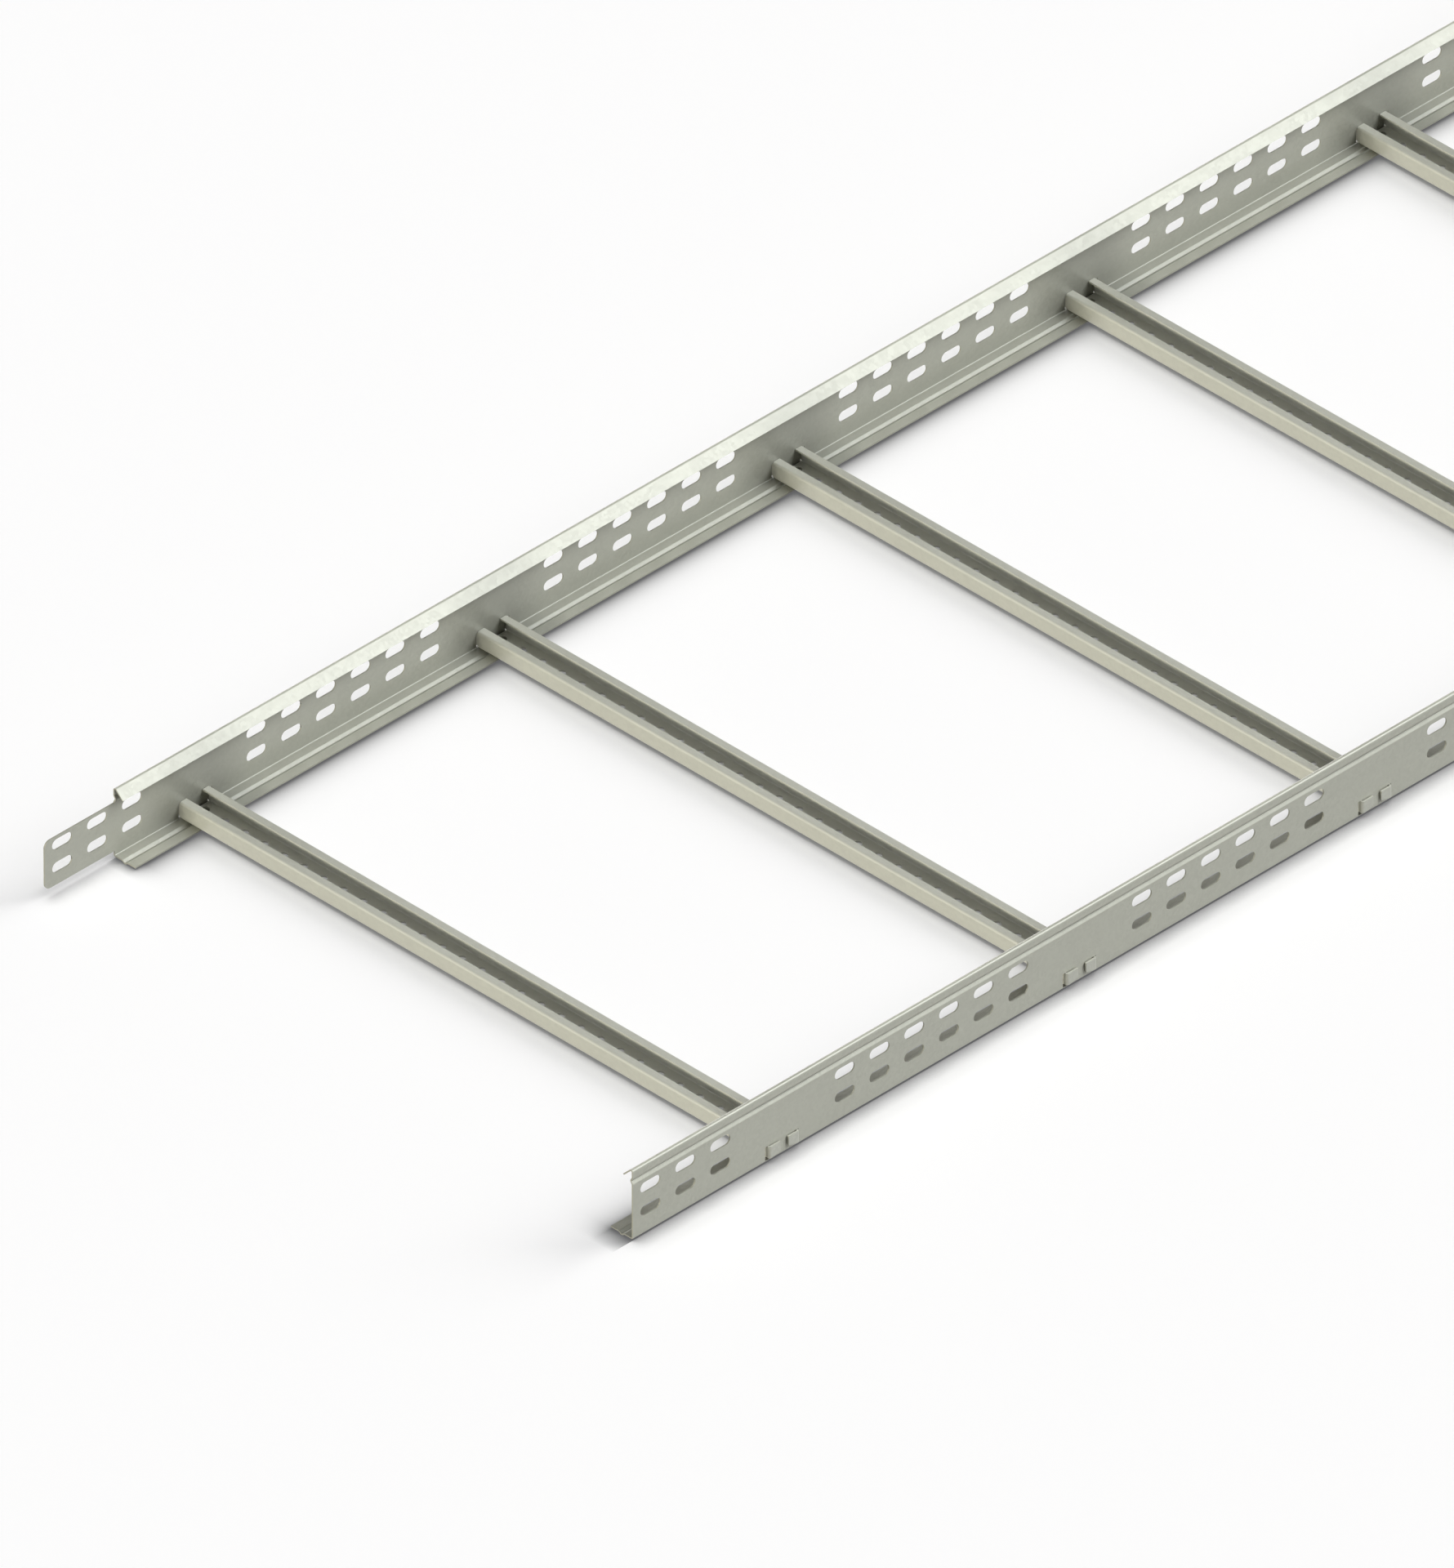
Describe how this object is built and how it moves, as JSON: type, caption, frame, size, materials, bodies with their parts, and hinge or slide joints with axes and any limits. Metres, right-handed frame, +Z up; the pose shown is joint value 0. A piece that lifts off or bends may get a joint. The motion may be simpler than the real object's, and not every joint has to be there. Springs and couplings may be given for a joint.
{
  "type": "cable ladder section",
  "caption": "Cable ladder section of galvanised sheet steel: slotted side rails with rolled beads and angled top lips, joined by lipped channel rungs with bent-over end tabs.",
  "frame": {"origin": "middle of the section's length and width, on the level that it lies on", "axes": "+X along the side rails, +Y across the ladder towards the far rail, +Z up"},
  "size_m": [3, 0.6, 0.0615],
  "materials": {
    "rail": "galvanised sheet, satin",
    "rung": "galvanised sheet, satin"
  },
  "bodies": {
    "root": {"side_rail_near": "rail", "side_rail_far": "rail", "rung_1": "rung", "rung_2": "rung", "rung_3": "rung", "rung_4": "rung", "rung_5": "rung", "rung_6": "rung", "rung_7": "rung", "rung_8": "rung", "rung_9": "rung", "rung_10": "rung"}
  },
  "joints": []
}
